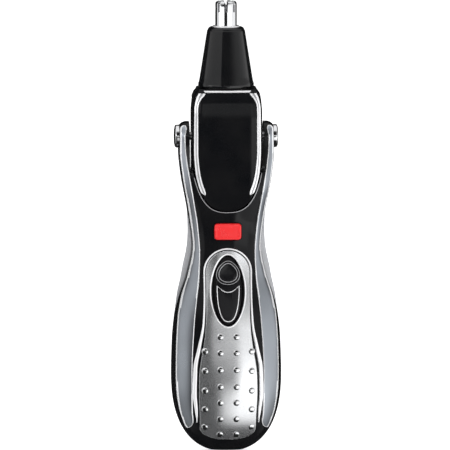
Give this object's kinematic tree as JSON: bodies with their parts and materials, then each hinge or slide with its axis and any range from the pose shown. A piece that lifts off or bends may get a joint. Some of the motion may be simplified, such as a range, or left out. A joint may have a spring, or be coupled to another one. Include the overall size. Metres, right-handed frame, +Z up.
{
  "type": "nose hair trimmer",
  "caption": "Upright cordless nose hair trimmer: slotted metal cutter on a black nozzle, tilting motor head between two arms, slide switch in a dotted silver plate.",
  "frame": {"origin": "middle of the flat foot that the trimmer stands on", "axes": "+Z up along the trimmer to the cutter, -Y out of the front with the switch, +X to the right seen from the front"},
  "size_m": [0.0384, 0.0304, 0.1567],
  "materials": {
    "gloss_black": "high gloss",
    "grey_shell": "satin",
    "satin_silver": "satin metallised plastic",
    "bright_chrome": "chromed plastic",
    "cutter_chrome": "polished",
    "dark_plastic": "satin",
    "red_plastic": "gloss",
    "steel": "plain",
    "brass": "plain",
    "cell_jacket": "printed jacket",
    "motor_case": "plated"
  },
  "bodies": {
    "handle": {"handle_front_shell": "gloss_black", "handle_rear_shell": "grey_shell", "side_rail_left": "satin_silver", "side_rail_right": "satin_silver", "grip_plate": "satin_silver", "plate_bezel": "bright_chrome", "switch_frame": "dark_plastic", "switch_body": "dark_plastic", "battery": "cell_jacket", "battery_spring": "steel", "battery_contact": "brass", "latch_spring": "steel", "pivot_pin_left": "steel", "pivot_pin_right": "steel", "pivot_cap_left": "bright_chrome", "pivot_cap_right": "bright_chrome", "housing_screw_1": "steel", "housing_screw_2": "steel", "housing_screw_3": "steel"},
    "door": {"battery_door": "grey_shell"},
    "slide_switch": {"switch_slider": "dark_plastic"},
    "button": {"release_button": "red_plastic", "button_spring": "steel"},
    "latch": {"lock_latch": "dark_plastic"},
    "head": {"head_front_shell": "gloss_black", "head_rear_shell": "gloss_black", "head_trim_left": "bright_chrome", "head_trim_right": "bright_chrome", "head_top_trim": "bright_chrome", "head_screw_left": "steel", "head_screw_right": "steel", "head_screw_lower": "steel", "pivot_bush_left": "brass", "pivot_bush_right": "brass", "lock_catch": "steel", "motor_can": "motor_case", "motor_end_cap": "dark_plastic", "motor_mount": "dark_plastic", "motor_terminal_left": "brass", "motor_terminal_right": "brass", "nozzle_seat": "dark_plastic"},
    "nozzle": {"nozzle_cone": "gloss_black", "cutter_collar": "cutter_chrome", "cutter_tube": "cutter_chrome", "spindle_bush": "brass"},
    "rotor": {"motor_shaft": "steel", "drive_coupling": "dark_plastic", "drive_spindle": "steel", "inner_blade": "steel"}
  },
  "joints": [
    {"name": "head_tilt", "type": "hinge", "parent": "handle", "child": "head", "pos_m": [0, 0, 0.1095], "axis": [-1, 0, 0], "range_deg": [0, 90]},
    {"name": "nozzle_twist", "type": "hinge", "parent": "head", "child": "nozzle", "pos_m": [0, 0, 0.1269], "axis": [0, 0, 1], "range_deg": [0, 30]},
    {"name": "rotor_spin", "type": "hinge", "parent": "head", "child": "rotor", "pos_m": [0, 0, 0.1269], "axis": [0, 0, 1], "continuous": true},
    {"name": "switch_slide", "type": "slide", "parent": "handle", "child": "slide_switch", "axis": [0, 0.1052, 0.9945], "range_m": [0, 0.0012]},
    {"name": "button_press", "type": "slide", "parent": "handle", "child": "button", "axis": [0, 1, 0], "range_m": [0, 0.0012], "stiffness_N_per_m": 400},
    {"name": "latch_draw", "type": "slide", "parent": "handle", "child": "latch", "axis": [0, 0, -1], "range_m": [0, 0.0012]},
    {"name": "door_open", "type": "hinge", "parent": "handle", "child": "door", "pos_m": [0, 0.0136, 0.013], "axis": [-1, 0, 0], "range_deg": [0, 70]}
  ],
  "couplings": [
    {"joint": "latch_draw", "follows": "button_press", "ratio": 1}
  ]
}
